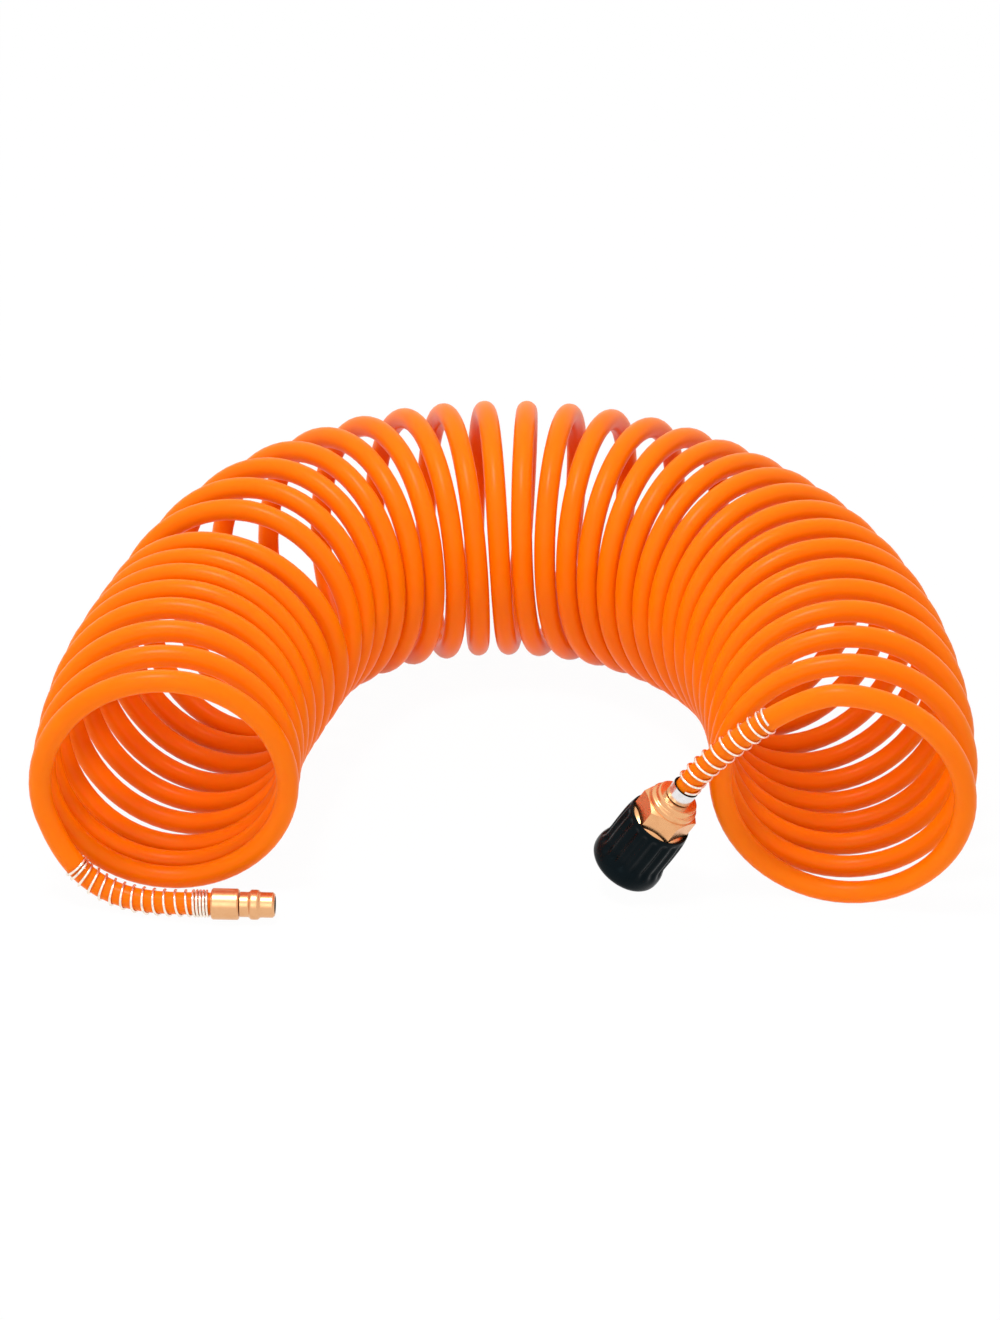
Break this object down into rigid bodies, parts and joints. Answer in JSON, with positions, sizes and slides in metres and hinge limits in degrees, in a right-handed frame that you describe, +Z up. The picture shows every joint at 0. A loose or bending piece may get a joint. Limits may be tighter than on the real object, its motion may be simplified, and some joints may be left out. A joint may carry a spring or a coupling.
{
  "type": "coiled air hose",
  "caption": "Coiled polyurethane air hose lying in an arch, with steel guard springs, a brass plug and a quick coupler with a sliding sleeve, locking balls and a sprung valve.",
  "frame": {"origin": "Middle of the footprint, on the ground plane that the loops rest on.", "axes": "+Z is up, +X runs from the left leg of the arch to the right one as the picture shows them, and the arch opens towards -Y."},
  "size_m": [0.3598, 0.2623, 0.1066],
  "materials": {
    "hose": "satin translucent orange polyurethane",
    "brass": "turned, bright",
    "steel": "bright plated",
    "grip": "moulded, ribbed, satin",
    "seal": "moulded, matte"
  },
  "bodies": {
    "hose_and_fittings": {"hose": "hose", "plug_body": "brass", "plug_ferrule": "brass", "plug_guard_spring": "steel", "coupler_guard_spring": "steel", "coupler_ferrule": "steel", "coupler_adaptor": "brass", "adaptor_seal": "seal", "coupler_barrel": "brass", "socket_seal": "seal", "retaining_ring": "steel", "sleeve_spring": "steel", "valve_spring": "steel"},
    "sleeve_washer": {"spring_washer": "steel"},
    "sleeve": {"sleeve_liner": "steel", "sleeve_grip": "grip"},
    "valve": {"valve_poppet": "brass", "valve_seal": "seal"},
    "ball_1": {"locking_ball_1": "steel"},
    "ball_2": {"locking_ball_2": "steel"},
    "ball_3": {"locking_ball_3": "steel"},
    "ball_4": {"locking_ball_4": "steel"}
  },
  "joints": [
    {"name": "sleeve_slide", "type": "slide", "parent": "hose_and_fittings", "child": "sleeve_washer", "axis": [0.4873, -0.1306, 0.8634], "range_m": [0, 0.0045], "stiffness_N_per_m": 1500, "deforming": ["sleeve_spring"]},
    {"name": "sleeve_turn", "type": "hinge", "parent": "sleeve_washer", "child": "sleeve", "pos_m": [0.05048, -0.10408, 0.01708], "axis": [-0.4873, 0.1306, -0.8634], "continuous": true},
    {"name": "valve_slide", "type": "slide", "parent": "hose_and_fittings", "child": "valve", "axis": [0.4873, -0.1306, 0.8634], "range_m": [0, 0.004], "stiffness_N_per_m": 800, "deforming": ["valve_spring"]},
    {"name": "ball_1_slide", "type": "slide", "parent": "hose_and_fittings", "child": "ball_1", "axis": [-0.7726, -0.525, 0.3569], "range_m": [0, 0.0011]},
    {"name": "ball_2_slide", "type": "slide", "parent": "hose_and_fittings", "child": "ball_2", "axis": [-0.4066, 0.841, 0.3568], "range_m": [0, 0.0011]},
    {"name": "ball_3_slide", "type": "slide", "parent": "hose_and_fittings", "child": "ball_3", "axis": [0.7727, 0.525, -0.3567], "range_m": [0, 0.0011]},
    {"name": "ball_4_slide", "type": "slide", "parent": "hose_and_fittings", "child": "ball_4", "axis": [0.4068, -0.841, -0.3567], "range_m": [0, 0.0011]}
  ],
  "couplings": [
    {"joint": "ball_1_slide", "follows": "sleeve_slide", "ratio": 0.24},
    {"joint": "ball_2_slide", "follows": "sleeve_slide", "ratio": 0.24},
    {"joint": "ball_3_slide", "follows": "sleeve_slide", "ratio": 0.24},
    {"joint": "ball_4_slide", "follows": "sleeve_slide", "ratio": 0.24}
  ]
}
